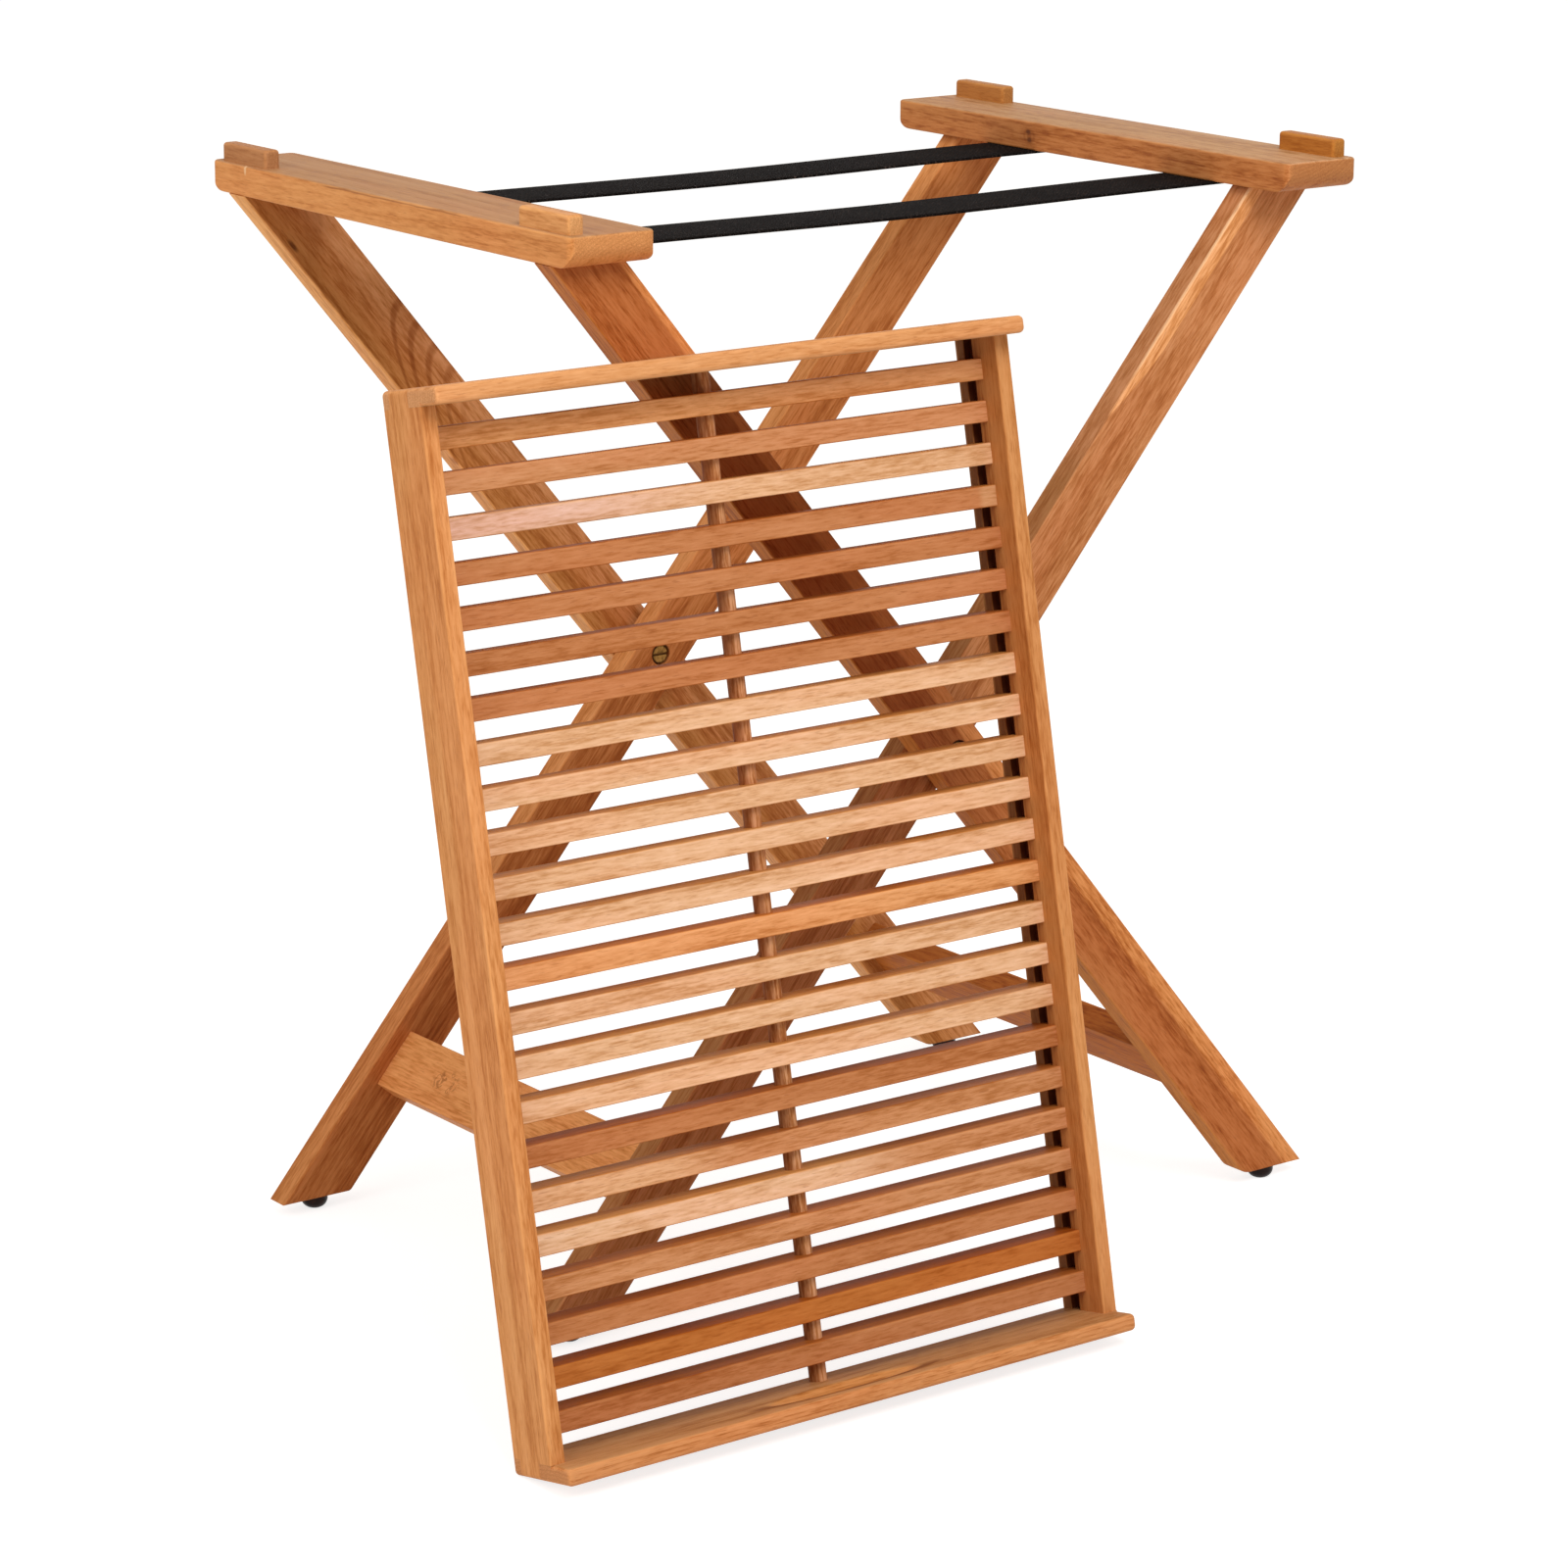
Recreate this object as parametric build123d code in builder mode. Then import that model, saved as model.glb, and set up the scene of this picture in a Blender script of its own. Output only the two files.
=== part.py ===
"""Folding tray table: an X-folding stand, standing open, with its loose slatted tray leaning on the near leg.

X runs along the webbing straps, +Y along the rails away from the tray, Z up from the floor. The origin is on
the floor, in the middle of the box round the whole group. All lengths are in millimetres.
"""

import os
from math import cos, radians, sin, tan

from build123d import *

# Stand: place, rails and the pegs that locate the tray
stand_x = 55.75  # pivot axis, across the stand
stand_near = -114.55  # near ends of the rails
rail_length = 386.0
rail_width = 57.5
rail_height = 18.5
rail_inner = 235.0  # inner edge of each rail from the pivot axis
rail_under = 645.0  # underside of the rails above the floor
rail_end_radius = 13.0  # rounded lower corners of the rail ends
rail_corner = 5.0  # rounded upright corners
rail_ease = 1.6
peg_length = 50.5
peg_width = 10.5
peg_height = 11.0
peg_end = 7.0  # peg from the rail's end
peg_edge = 3.5  # peg from the rail's outer edge
peg_corner = 2.5
peg_ease = 2.2

# Legs, stretchers and glides
leg_width = 38.0
leg_thickness = 17.75
leg_angle = 40.0  # from vertical, with the stand open
leg_ease = 1.2
leg_inset = {"outer": 19.0, "inner": 40.5}  # leg's outside face from the rail's end
foot_radius = {"outer": 13.0, "inner": 4.0}  # inner lower corner of the foot
foot_height = 8.0
tenon_length = 34.0  # leg tenon in the rail
tenon_thickness = 9.0
tenon_height = 10.0
stretcher_drop = 314.0  # stretcher's middle below the pivot, along the leg
stretcher_width = 40.0
stretcher_thickness = 17.0
stub_width = 28.0  # stretcher tenon in the leg
stub_thickness = 9.0
stub_length = 8.0
joint_slack = 0.1  # glue line, all round a tenon's width
glide_radius = 8.5
glide_flat = 4.0
glide_rim = 2.5
glide_slope = 0.3  # rise of the dome where it leaves the flat
glide_x = 264.0  # glide's centre from the pivot axis
nail_radius = 1.5
nail_length = 15.0

# Pivots: a barrel with a slotted head, the screw in its far end and a washer between the legs
pivot_height = 326.0
barrel_radius = 4.0
barrel_length = 31.5
barrel_bore_depth = 24.0
running_clearance = 0.05  # barrel in the outer leg
fixed_clearance = 0.03  # barrel in the inner leg, screw in the barrel
head_radius = 5.8
head_thickness = 2.0
head_gap = 0.15  # under the barrel's head
counterbore_radius = 7.0
counterbore_depth = 3.0
screw_radius = 2.5
screw_length = 20.0
slot_length = 14.0  # runs out at both sides of the head
slot_width = 1.5
slot_depth = 1.0
washer_radius = 10.0
washer_gap = 0.2

# Webbing straps under the rails
strap_width = 50.0
strap_thickness = 1.8
strap_lap = 46.0  # lap under each rail
strap_middle = {"near": 92.5, "far": 266.5}  # from the near ends of the rails

# Tray, in its own directions: u across, v up along the side boards, n out of the slatted face
tray_left = -404.0  # left side from the stand's pivot axis
tray_lean = 11.75  # degrees from vertical
tray_rest_gap = 0.4  # top back edge in front of the near outer leg
tray_width = 404.5
tray_length = 600.0
end_depth = 55.0
end_thickness = 10.2
end_corner = 3.2  # rounded tray corners
end_front_ease = 3.0  # rounded front edge of the end boards
side_depth = 37.5
side_thickness = 10.0
board_ease = 1.0
tongue_back = 6.8  # side board's tongue through the end board
tongue_front = 25.7
groove_back = 7.2
groove_front = 15.6
groove_depth = 5.0
slat_count = 23
slat_width = 12.65
slat_depth = 22.7
slat_ease = 0.8
slat_tenon = 4.8
dowel_radius = 5.2
dowel_bore = 5.25
dowel_socket = 6.0
grip_length = 115.0  # scooped finger grip on the end boards' inner faces
grip_width = 20.0
grip_depth = 3.0
grip_middle = 37.0

# Derived sizes
rail_outer = rail_inner + rail_width
rail_top = rail_under + rail_height
stand_far = stand_near + rail_length
leg_slope = tan(radians(leg_angle))
leg_half = leg_width / 2 / cos(radians(leg_angle))  # half a leg's width, measured level
leg_gap = leg_inset["inner"] - leg_inset["outer"] - leg_thickness
rim_low = foot_height - glide_rim
tray_rise = board_ease * (cos(radians(tray_lean)) + sin(radians(tray_lean)) - 1)
tray_floor_y = stand_near + leg_inset["outer"] - tray_rest_gap - tray_length * sin(radians(tray_lean))
slat_gap = (tray_length - 2 * end_thickness - slat_count * slat_width) / (slat_count + 1)
dowel_n = slat_depth / 2
grip_sweep = (grip_length**2 / 4 + grip_depth**2) / (2 * grip_depth)  # radius of the scoop along the board
grip_round = (grip_width**2 / 4 + grip_depth**2) / (2 * grip_depth)  # and across it

tray_plane = Plane(
    origin=(stand_x + tray_left, tray_floor_y, -tray_rise),
    x_dir=(1, 0, 0),
    z_dir=(0, -cos(radians(tray_lean)), sin(radians(tray_lean))),
)
up_tray = tray_plane.y_dir
out_of_tray = tray_plane.z_dir

os.makedirs("parts", exist_ok=True)


def keep(piece, name):
    piece.part.label = name
    export_step(piece.part, f"parts/{name}.step")


def side_y(end, inset):
    """Y at a distance inside the near or the far ends of the rails."""
    return stand_near + inset if end == "near" else stand_far - inset


def inward(end):
    """Y direction from the given end towards the middle of the stand."""
    return 1 if end == "near" else -1


def leg_x(height, lean):
    """X of a leg's centreline; lean is 1 for legs that climb to the right, -1 to the left."""
    return stand_x + lean * (height - pivot_height) * leg_slope


def pivot_plane(end, depth):
    """Plane square to a pivot, at a depth from the outer leg's outside face, facing into the stand."""
    centre = (stand_x, side_y(end, leg_inset["outer"] + depth), pivot_height)
    return Plane(centre, x_dir=(1, 0, 0), z_dir=(0, inward(end), 0))


def on_tray(u, v, n):
    """Point in the tray's own directions."""
    return tray_plane.from_local_coords((u, v, n))


def tray_section(u):
    """Plane across the tray, with its own x along v and its own y along n."""
    return Plane(origin=on_tray(u, 0, 0), x_dir=up_tray, z_dir=tray_plane.x_dir)


# Which way each frame's legs climb, and the rail and stretcher that go with them
frames = {"outer": (-1, "left", "right"), "inner": (1, "right", "left")}

# Rails, with blind mortises for the legs, and a pair of pegs on each
for frame, (lean, rail_side, _) in frames.items():
    rail_start = stand_x + (rail_inner if lean > 0 else -rail_outer)
    with BuildPart() as rail:
        with BuildSketch(Plane.YZ.offset(rail_start)) as outline:
            with Locations((stand_near + rail_length / 2, rail_under + rail_height / 2)):
                Rectangle(rail_length, rail_height)
            fillet(outline.vertices().group_by(Axis.Y)[0], rail_end_radius)
        extrude(amount=rail_width)
        with BuildSketch(Plane.XY.offset(rail_under)):
            with Locations((rail_start + rail_width / 2, stand_near + rail_length / 2)):
                RectangleRounded(rail_width, rail_length, rail_corner)
        extrude(amount=rail_height, mode=Mode.INTERSECT)
        with BuildSketch(Plane.XZ.offset(-stand_far)) as section:
            with Locations((rail_start + rail_width / 2, rail_under + rail_height / 2)):
                Rectangle(rail_width, rail_height)
            fillet(section.vertices().group_by(Axis.Y)[0], rail_ease)
        extrude(amount=rail_length, mode=Mode.INTERSECT)
        fillet(rail.faces().sort_by(Axis.Z)[-1].edges(), rail_ease)
        with BuildSketch(Plane.XY.offset(rail_under)):
            for end in ("near", "far"):
                with Locations((leg_x(rail_under, lean), side_y(end, leg_inset[frame] + leg_thickness / 2))):
                    Rectangle(tenon_length + joint_slack, tenon_thickness + joint_slack)
        extrude(amount=tenon_height + joint_slack, mode=Mode.SUBTRACT)
    keep(rail, f"{rail_side}_rail")

    for end in ("near", "far"):
        peg_x = stand_x + lean * (rail_outer - peg_edge - peg_width / 2)
        with BuildPart() as peg:
            with BuildSketch(Plane.XY.offset(rail_top)):
                with Locations((peg_x, side_y(end, peg_end + peg_length / 2))):
                    RectangleRounded(peg_width, peg_length, peg_corner)
            extrude(amount=peg_height)
            fillet(peg.faces().sort_by(Axis.Z)[-1].edges(), peg_ease)
        keep(peg, f"peg_{rail_side}_{end}")

# Legs: level cuts under the rail and over the glide, a tenon on top, the counterbored pivot hole, a mortise
# for the stretcher and the hole for the glide's nail
for frame, (lean, _, _) in frames.items():
    along_leg = Vector(lean * sin(radians(leg_angle)), 0, cos(radians(leg_angle)))
    for end in ("near", "far"):
        outside = side_y(end, leg_inset[frame])
        inside = side_y(end, leg_inset[frame] + leg_thickness)
        middle = (outside + inside) / 2
        to_middle = inward(end)
        foot_x, top_x = leg_x(foot_height, lean), leg_x(rail_under, lean)
        with BuildPart() as leg:
            with BuildSketch(Plane.XZ.offset(-max(outside, inside))) as outline:
                with BuildLine():
                    Polyline(
                        (foot_x - leg_half, foot_height),
                        (foot_x + leg_half, foot_height),
                        (top_x + leg_half, rail_under),
                        (top_x - leg_half, rail_under),
                        close=True,
                    )
                make_face()
                foot_corners = outline.vertices().group_by(Axis.Y)[0].sort_by(Axis.X)
                fillet(foot_corners[0 if lean < 0 else -1], foot_radius[frame])
            extrude(amount=leg_thickness)
            fillet(leg.edges().filter_by(Axis((0, 0, 0), along_leg)), leg_ease)
            with BuildSketch(Plane.XY.offset(rail_under)):
                with Locations((top_x, middle)):
                    Rectangle(tenon_length, tenon_thickness)
            extrude(amount=tenon_height)
            head_side = -to_middle if frame == "outer" else to_middle
            head_face = outside if frame == "outer" else inside
            clearance = running_clearance if frame == "outer" else fixed_clearance
            with Locations(Plane((stand_x, head_face, pivot_height), z_dir=(0, head_side, 0))):
                CounterBoreHole(barrel_radius + clearance, counterbore_radius, counterbore_depth)
            mortise_at = Vector(stand_x, inside, pivot_height) - along_leg * stretcher_drop
            with BuildSketch(Plane(mortise_at, x_dir=along_leg, z_dir=(0, -to_middle, 0))):
                Rectangle(stub_width + joint_slack, stub_thickness + joint_slack)
            extrude(amount=stub_length + joint_slack, mode=Mode.SUBTRACT)
            with Locations(Plane((stand_x - lean * glide_x, middle, foot_height), z_dir=(0, 0, -1))):
                Hole(nail_radius + joint_slack / 2, depth=nail_length + joint_slack)
        keep(leg, f"{frame}_leg_{end}")

        with BuildPart() as glide:
            with BuildSketch(Plane((stand_x - lean * glide_x, middle, 0), x_dir=(1, 0, 0), z_dir=(0, -1, 0))):
                with BuildLine():
                    Line((0, 0), (glide_flat, 0))
                    TangentArc((glide_flat, 0), (glide_radius, rim_low), tangent=(1, glide_slope))
                    Polyline(
                        (glide_radius, rim_low),
                        (glide_radius, foot_height),
                        (nail_radius, foot_height),
                        (nail_radius, foot_height + nail_length),
                        (0, foot_height + nail_length),
                        (0, 0),
                    )
                make_face()
            revolve(axis=Axis((stand_x - lean * glide_x, middle, 0), (0, 0, 1)))
        keep(glide, f"glide_{frame}_{end}")

# Stretchers between the legs of each frame, with a stub tenon at both ends
for frame, (lean, _, stretcher_side) in frames.items():
    along_leg = Vector(lean * sin(radians(leg_angle)), 0, cos(radians(leg_angle)))
    start = side_y("near", leg_inset[frame] + leg_thickness)
    span = side_y("far", leg_inset[frame] + leg_thickness) - start
    bar_start = Vector(stand_x, start, pivot_height) - along_leg * stretcher_drop
    bar_plane = Plane(bar_start, x_dir=along_leg, z_dir=(0, 1, 0))
    with BuildPart() as stretcher:
        with BuildSketch(bar_plane):
            Rectangle(stretcher_width, stretcher_thickness)
        extrude(amount=span)
        fillet(stretcher.edges().filter_by(Axis.Y), leg_ease)
        with BuildSketch(bar_plane.offset(-stub_length)):
            Rectangle(stub_width, stub_thickness)
        extrude(amount=span + 2 * stub_length)
    keep(stretcher, f"{stretcher_side}_stretcher")

# Pivots: the barrel's head sits in the outer leg, the screw's head in the inner one
head_under = counterbore_depth - head_gap
screw_seat = 2 * leg_thickness + leg_gap - counterbore_depth
for end in ("near", "far"):
    with BuildPart() as barrel:
        with BuildSketch(pivot_plane(end, head_under - head_thickness)):
            Circle(head_radius)
        extrude(amount=head_thickness)
        with BuildSketch(pivot_plane(end, head_under)):
            Circle(barrel_radius)
        extrude(amount=barrel_length)
        with BuildSketch(pivot_plane(end, head_under + barrel_length)):
            Circle(screw_radius + fixed_clearance)
        extrude(amount=-barrel_bore_depth, mode=Mode.SUBTRACT)
        with BuildSketch(pivot_plane(end, head_under - head_thickness)):
            Rectangle(slot_length, slot_width)
        extrude(amount=slot_depth, mode=Mode.SUBTRACT)
    keep(barrel, f"pivot_barrel_{end}")

    with BuildPart() as screw:
        with BuildSketch(pivot_plane(end, screw_seat)):
            Circle(head_radius)
        extrude(amount=head_thickness)
        with BuildSketch(pivot_plane(end, screw_seat)):
            Circle(screw_radius)
        extrude(amount=-screw_length)
        with BuildSketch(pivot_plane(end, screw_seat + head_thickness)):
            Rectangle(slot_length, slot_width)
        extrude(amount=-slot_depth, mode=Mode.SUBTRACT)
    keep(screw, f"pivot_screw_{end}")

    with BuildPart() as washer:
        with BuildSketch(pivot_plane(end, leg_thickness + washer_gap)):
            Circle(washer_radius)
            Circle(barrel_radius + running_clearance, mode=Mode.SUBTRACT)
        extrude(amount=leg_gap - washer_gap)
    keep(washer, f"pivot_washer_{end}")

# Webbing straps, pulled tight by the open stand
for end, middle in strap_middle.items():
    with BuildPart() as strap:
        with BuildSketch(Plane.XY.offset(rail_under)):
            with Locations((stand_x, stand_near + middle)):
                Rectangle(2 * (rail_inner + strap_lap), strap_width)
        extrude(amount=-strap_thickness)
    keep(strap, f"strap_{end}")

# Tray end boards: notched at both ends for the side boards' tongues, scooped inside for the fingers
for end, outer_v, into in (("bottom", 0.0, 1), ("top", tray_length, -1)):
    inner_v = outer_v + into * end_thickness
    with BuildPart() as board:
        with BuildSketch(tray_plane) as outline:
            with Locations((tray_width / 2, (outer_v + inner_v) / 2)):
                Rectangle(tray_width, end_thickness)
            fillet(outline.vertices().group_by(Axis.Y)[0 if into > 0 else -1], end_corner)
        extrude(amount=side_depth)
        with BuildSketch(tray_plane.offset(side_depth)):
            with Locations((tray_width / 2, (outer_v + inner_v) / 2)):
                RectangleRounded(tray_width, end_thickness, end_corner)
        extrude(amount=end_depth - side_depth)
        back, *_, front = board.faces().sort_by(Axis((0, 0, 0), out_of_tray))
        fillet(front.edges(), end_front_ease)
        outer_edges = back.edges().sort_by(Axis((0, 0, 0), up_tray * into))[:-1]
        fillet(outer_edges, board_ease)
        with BuildSketch(tray_plane.offset(tongue_back)):
            with Locations((0, inner_v), (tray_width, inner_v)):
                Rectangle(2 * side_thickness, 4 * end_thickness)
        extrude(amount=tongue_front - tongue_back, mode=Mode.SUBTRACT)
        scoop_middle = on_tray(tray_width / 2, inner_v + into * (grip_sweep - grip_depth), grip_middle)
        with Locations(Plane(scoop_middle, z_dir=out_of_tray)):
            Torus(grip_sweep - grip_round, grip_round, mode=Mode.SUBTRACT)
        with Locations(Plane(on_tray(tray_width / 2, inner_v, dowel_n), z_dir=up_tray * into)):
            Hole(dowel_bore, depth=dowel_socket)
    keep(board, f"tray_end_{end}")

# Tray side boards, each with a tongue at both ends and the groove for the slat tenons
side_outline = (
    (end_thickness, 0),
    (tray_length - end_thickness, 0),
    (tray_length - end_thickness, tongue_back),
    (tray_length, tongue_back),
    (tray_length, tongue_front),
    (tray_length - end_thickness, tongue_front),
    (tray_length - end_thickness, side_depth),
    (end_thickness, side_depth),
    (end_thickness, tongue_front),
    (0, tongue_front),
    (0, tongue_back),
    (end_thickness, tongue_back),
)
for side, start, groove_start, outside in (
    ("left", 0.0, side_thickness - groove_depth, 0),
    ("right", tray_width - side_thickness, tray_width - side_thickness, -1),
):
    with BuildPart() as board:
        with BuildSketch(tray_section(start)):
            with BuildLine():
                Polyline(*side_outline, close=True)
            make_face()
        extrude(amount=side_thickness)
        long_edges = board.edges().filter_by(Axis((0, 0, 0), up_tray)).group_by(Axis((0, 0, 0), out_of_tray))
        fillet(long_edges[-1] + [long_edges[0].sort_by(Axis.X)[outside]], board_ease)
        tongue_tips = board.edges().filter_by(Axis((0, 0, 0), out_of_tray)).group_by(Axis((0, 0, 0), up_tray))
        fillet([tip.sort_by(Axis.X)[outside] for tip in (tongue_tips[0], tongue_tips[-1])], end_corner)
        with BuildSketch(tray_section(groove_start)):
            with Locations((tray_length / 2, (groove_back + groove_front) / 2)):
                Rectangle(tray_length - 2 * end_thickness, groove_front - groove_back)
        extrude(amount=groove_depth, mode=Mode.SUBTRACT)
    keep(board, f"tray_side_{side}")

# Tray slats, tenoned into the grooves, and the dowel that runs through them all
for i in range(slat_count):
    low = end_thickness + slat_gap + i * (slat_width + slat_gap)
    middle = low + slat_width / 2
    with BuildPart() as slat:
        with BuildSketch(tray_section(side_thickness)):
            with Locations((middle, slat_depth / 2)):
                RectangleRounded(slat_width, slat_depth, slat_ease)
        extrude(amount=tray_width - 2 * side_thickness)
        with BuildSketch(tray_section(side_thickness - slat_tenon)):
            with Locations((middle, (groove_back + groove_front) / 2)):
                Rectangle(slat_width, groove_front - groove_back - joint_slack)
        extrude(amount=tray_width - 2 * side_thickness + 2 * slat_tenon)
        with Locations(Plane(on_tray(tray_width / 2, low + slat_width, dowel_n), z_dir=up_tray)):
            Hole(dowel_bore)
    keep(slat, f"tray_slat_{i + 1:02d}")

with BuildPart() as dowel:
    dowel_start = end_thickness - dowel_socket + joint_slack
    with BuildSketch(Plane(on_tray(tray_width / 2, dowel_start, dowel_n), z_dir=up_tray)):
        Circle(dowel_radius)
    extrude(amount=tray_length - 2 * dowel_start)
keep(dowel, "tray_dowel")
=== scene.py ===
import bpy
import math
from mathutils import Matrix, Vector


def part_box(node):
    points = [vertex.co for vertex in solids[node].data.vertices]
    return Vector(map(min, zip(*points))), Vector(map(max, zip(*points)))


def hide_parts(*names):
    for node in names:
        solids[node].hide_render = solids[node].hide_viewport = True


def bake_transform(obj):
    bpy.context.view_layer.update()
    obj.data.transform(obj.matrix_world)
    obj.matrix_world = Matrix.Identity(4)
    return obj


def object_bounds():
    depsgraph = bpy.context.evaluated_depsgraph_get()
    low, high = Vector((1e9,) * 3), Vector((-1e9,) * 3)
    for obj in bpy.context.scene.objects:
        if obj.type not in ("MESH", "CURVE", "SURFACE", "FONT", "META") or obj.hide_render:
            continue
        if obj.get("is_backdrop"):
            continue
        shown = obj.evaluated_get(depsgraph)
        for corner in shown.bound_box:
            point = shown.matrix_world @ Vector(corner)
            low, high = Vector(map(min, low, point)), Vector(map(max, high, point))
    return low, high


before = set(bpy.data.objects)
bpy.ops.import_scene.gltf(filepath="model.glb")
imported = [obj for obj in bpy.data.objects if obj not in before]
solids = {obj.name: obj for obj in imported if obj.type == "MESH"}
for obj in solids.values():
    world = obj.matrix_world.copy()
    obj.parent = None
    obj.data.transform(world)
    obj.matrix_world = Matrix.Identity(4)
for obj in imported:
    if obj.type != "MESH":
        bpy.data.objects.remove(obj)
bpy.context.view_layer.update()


# Top rails: two flat teak boards, one across the heads of each pair of legs, whose tenons come up into them.
# They are planed, eased along the arrises, rounded at the lower end corners and rubbed with oil.
def tint(shade, by=(1, 1, 1)):
    """A shade in six hex digits as the shader wants it, each channel taken up or down."""
    parts = [int(shade[i:i + 2], 16) / 255 for i in (0, 2, 4)]
    light = [p / 12.92 if p <= 0.04045 else ((p + 0.055) / 1.055) ** 2.4 for p in parts]
    return [*(min(p * b, 1) for p, b in zip(light, by)), 1]


def grey(level):
    return (level, level, level, 1)


def bare_material(name):
    """A material whose tree is still empty."""
    made = bpy.data.materials.new(name)
    made.use_nodes = True
    made.node_tree.nodes.clear()
    return made


def wire(tree, kind, fed, **settings):
    """Adds a node, feeds its sockets with values or links, and gives its outputs."""
    made = tree.nodes.new(kind)
    for name, value in settings.items():
        setattr(made, name, value)
    for place, value in fed.items():
        if isinstance(value, bpy.types.NodeSocket):
            tree.links.new(value, made.inputs[place])
        else:
            made.inputs[place].default_value = value
    return made.outputs


def reckon(tree, how, a, b=0.0, c=0.0):
    """One step of arithmetic on values or links."""
    return wire(tree, "ShaderNodeMath", {0: a, 1: b, 2: c}, operation=how)[0]


def both(tree, *shares):
    """Shares multiplied: full only where each of them is."""
    product = shares[0]
    for share in shares[1:]:
        product = reckon(tree, "MULTIPLY", product, share)
    return product


def waves(tree, value, length):
    """A sine wave of the given length."""
    return reckon(tree, "SINE", reckon(tree, "MULTIPLY", value, 2 * math.pi / length))


def oval(tree, x, y, middle, size):
    """Distance from the middle of an oval spot, 1 at its rim."""
    steps = [reckon(tree, "SUBTRACT", way, m) for way, m in zip((x, y), middle)]
    steps = [reckon(tree, "DIVIDE", step, s) for step, s in zip(steps, size)]
    squares = [reckon(tree, "MULTIPLY", step, step) for step in steps]
    return reckon(tree, "SQRT", reckon(tree, "ADD", *squares))


def noise(tree, place, fineness, detail, rough=0.5, curl=0.0):
    """Cloudy noise, from 0 to 1."""
    fed = {"Vector": place, "Scale": fineness, "Detail": detail, "Roughness": rough, "Distortion": curl}
    return wire(tree, "ShaderNodeTexNoise", fed)[0]


def fade(tree, value, start, end, low=0.0, high=1.0):
    """Goes softly from low to high as the value goes from start to end."""
    ends = {"Value": value, "From Min": start, "From Max": end, "To Min": low, "To Max": high}
    return wire(tree, "ShaderNodeMapRange", ends, interpolation_type="SMOOTHSTEP")[0]


def ramp(tree, value, *stops):
    """Turns a value into a colour by stops of (place, colour)."""
    made = tree.nodes.new("ShaderNodeValToRGB")
    tree.links.new(value, made.inputs[0])
    scale = made.color_ramp.elements
    while len(scale) < len(stops):
        scale.new(1.0)
    for mark, (place, colour) in zip(scale, stops):
        mark.position, mark.color = place, colour
    return made.outputs[0]


def lay(tree, share, under, over, how="MIX"):
    """Lays one colour over another."""
    return wire(tree, "ShaderNodeMix", {0: share, 6: under, 7: over}, data_type="RGBA", blend_type=how)[2]


def glaze(tree, share, colour, by):
    """Takes the red, green and blue of a colour up or down."""
    return lay(tree, share, colour, (*by, 1), "MULTIPLY")


def coat(tree, colour, rough, height, strength, depth, shine=0.5, metal=0.0):
    """Finishes a material with its colour, roughness and shine, and with bumps of the given depth."""
    bumps = wire(tree, "ShaderNodeBump", {"Strength": strength, "Distance": depth, "Height": height})[0]
    fed = {"Base Color": colour, "Metallic": metal, "Roughness": rough, "Specular IOR Level": shine,
           "Normal": bumps}
    skin = wire(tree, "ShaderNodeBsdfPrincipled", fed)[0]
    wire(tree, "ShaderNodeOutputMaterial", {"Surface": skin})


def dress(piece, material):
    """Gives a piece this material and no other."""
    solids[piece].data.materials.clear()
    solids[piece].data.materials.append(material)


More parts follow.
